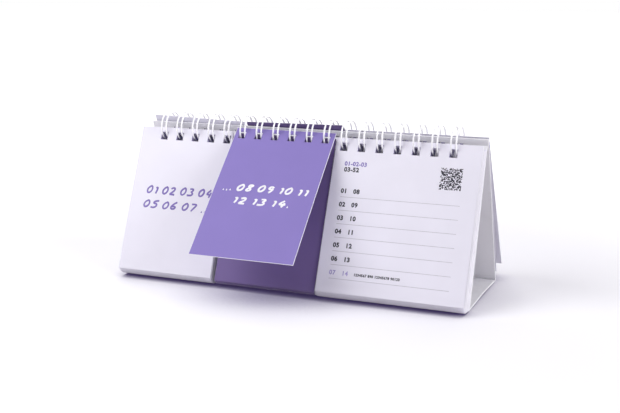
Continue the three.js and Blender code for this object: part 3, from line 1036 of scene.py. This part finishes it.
class CALENDAR_OT_print(bpy.types.Operator):
    """Prints plain numbers, rules and a plain block pattern on the cards"""

    bl_idname = "calendar.print"
    bl_label = "Print"

    def execute(self, context):
        ink = context.scene.calendar.ink
        leaves = context.scene.calendar.leaves
        purple = ink_material("purple ink", ink.purple, leaves.pale)
        white = ink_material("white ink", ink.white, leaves.purple)
        dark = ink_material("dark ink", ink.dark, leaves.pale)
        soft = ink_material("soft ink", ink.soft, leaves.pale)
        rule = ink_material("rule ink", ink.rule, leaves.pale, hold=0.3)
        half = ink.stroke / MM
        for card, first in (("top_card", 1), ("second_card", 15)):
            q, _, lean = SINGLES[card]
            out, bow = q + CARD, BOWS[card]
            n = ["%02d" % (first + i) for i in range(NUMBERS)]

            name = "left_" + card
            rows = [
                (" ".join(n[0:4]), -115.2, -52.2, 5.5, 54.0),
                (" ".join(n[4:7]) + " ...", -116.2, -62.9, 5.3, 55.0),
            ]
            numbers = pen_numbers(rows, half, PEN_SEEDS["left"])
            lay_print(numbers, name + "_numbers", name, lean, out, bow, purple)

            name = "mid_" + card
            swung, x = (OPEN_LEAN, 0.0) if card == "top_card" else (lean, MID_INNER_X)
            rows = [
                ("... " + " ".join(n[7:11]), -43.5 + x, -55.9, 5.2, 63.5),
                (" ".join(n[11:14]) + ".", -33.5 + x, -66.2, 5.1, 43.0),
            ]
            numbers = pen_numbers(rows, half * MID_BROAD, PEN_SEEDS["mid"])
            lay_print(numbers, name + "_numbers", name, swung, out, bow, white)

            name = "right_" + card
            a, b = NUMBER_X
            levels = [ROW_Y - ROW_STEP * i for i in range(6)]
            rows = [("03-52", 34.2, -26.0, NUMBER_SIZE)]
            rows += [("%02d" % (i + 1), a, y, NUMBER_SIZE) for i, y in enumerate(levels)]
            rows += [(n[7 + i], b, y, NUMBER_SIZE) for i, y in enumerate(levels)]
            last = [("07", a, LAST_Y, NUMBER_SIZE), (n[13], b, LAST_Y, NUMBER_SIZE)]
            rules = [(*RULE_X, RULE_Y - RULE_STEP * i) for i in range(7)]
            for ending, bm, material in (
                ("_days", type_numbers(rows, 0.05), dark),
                ("_remark", type_numbers([("1234567 890 12345678 90123", 51.4, -95.8, 2.3)], 0.055), dark),
                ("_heading", type_numbers([("01-02-03", 34.0, -21.9, 3.9)], 0.04), purple),
                ("_last_day", type_numbers(last, 0.03), soft),
                ("_rules", strips(rules), rule),
                ("_blocks", block_pattern(PATTERN_SEED + first), dark),
            ):
                lay_print(bm, name + ending, name, lean, out, bow, material)
        return {"FINISHED"}


class CALENDAR_OT_stage(bpy.types.Operator):
    """Sets up the camera, the pale floor and the soft studio light"""

    bl_idname = "calendar.stage"
    bl_label = "Studio"

    def execute(self, context):
        scene = context.scene
        settings = scene.calendar.stage

        def place(name, data, matrix):
            thing = bpy.data.objects.new(name, data)
            scene.collection.objects.link(thing)
            thing.matrix_world = matrix
            return thing

        def aim(way, at):
            """Stands at a point and looks back along a way."""
            return Matrix.Translation(at) @ way.to_track_quat("Z", "Y").to_matrix().to_4x4()

        lens = bpy.data.cameras.new("camera")
        lens.sensor_fit = "HORIZONTAL"
        lens.sensor_width = SENSOR
        lens.lens = SENSOR * FOCAL / PHOTO_W
        lens.clip_start = 0.01
        yaw = Matrix.Rotation(math.radians(CAMERA_YAW), 4, "Z")
        dip = Matrix.Rotation(math.radians(90 - CAMERA_DIP), 4, "X")
        roll = Matrix.Rotation(math.radians(CAMERA_ROLL), 4, "Z")
        scene.camera = place("camera", lens, Matrix.Translation(CAMERA_AT) @ yaw @ dip @ roll)

        bm = bmesh.new()
        bmesh.ops.create_grid(bm, x_segments=1, y_segments=1, size=FLOOR_HALF)
        floor = place("floor", mesh_of(bm, "floor"), Matrix.Identity(4))
        floor.data.materials.append(floor_material())

        softbox = bpy.data.lights.new("key", "AREA")
        softbox.shape = "DISK"
        softbox.size = KEY_WIDE
        softbox.energy = settings.key * math.pi * KEY_FAR**2
        way = Vector(KEY_WAY).normalized()
        place("key", softbox, aim(way, way * KEY_FAR + Vector(KEY_AIM)))
        for name, (way, wide) in SUNS.items():
            sun = bpy.data.lights.new(name, "SUN")
            sun.angle = math.radians(wide)
            sun.energy = getattr(settings, name)
            place(name, sun, aim(Vector(way), way))

        world = bpy.data.worlds.new("room")
        scene.world = world
        world.use_nodes = True
        n = Nodes(world.node_tree)
        out = n.add("ShaderNodeOutputWorld")
        room, plain = n.add("ShaderNodeBackground"), n.add("ShaderNodeBackground")
        n.set(room, Color=ROOM_COLOUR, Strength=settings.room)
        n.set(plain, Color=(1, 1, 1, 1), Strength=1.0)
        n.link(n.choose(n.seen(), room.outputs[0], plain.outputs[0]), out.inputs["Surface"])
        scene.view_settings.view_transform = "Standard"
        return {"FINISHED"}


STEPS = (
    CALENDAR_OT_stage,
    CALENDAR_OT_comb,
    CALENDAR_OT_stand,
    CALENDAR_OT_packs,
    CALENDAR_OT_cards,
    CALENDAR_OT_turned,
    CALENDAR_OT_print,
)


class CALENDAR_PT_panel(bpy.types.Panel):
    """Lists the steps that make the desk calendar"""

    bl_label = "Desk calendar"
    bl_idname = "CALENDAR_PT_panel"
    bl_space_type = "VIEW_3D"
    bl_region_type = "UI"
    bl_category = "Calendar"

    def draw(self, context):
        for step in STEPS:
            self.layout.operator(step.bl_idname)


GROUPS = (CombSizes, LeafSizes, StandSizes, InkColours, StageSettings, CalendarSettings)
CLASSES = (*GROUPS, *STEPS, CALENDAR_PT_panel)


def register():
    for c in CLASSES:
        bpy.utils.register_class(c)
    bpy.types.Scene.calendar = PointerProperty(type=CalendarSettings)


def unregister():
    del bpy.types.Scene.calendar
    for c in reversed(CLASSES):
        bpy.utils.unregister_class(c)


def main():
    register()
    bpy.ops.calendar.stage()
    bpy.ops.calendar.comb()
    bpy.ops.calendar.stand()
    bpy.ops.calendar.packs()
    bpy.ops.calendar.cards()
    bpy.ops.calendar.turned()
    bpy.ops.calendar.print()


if __name__ == "__main__":
    main()
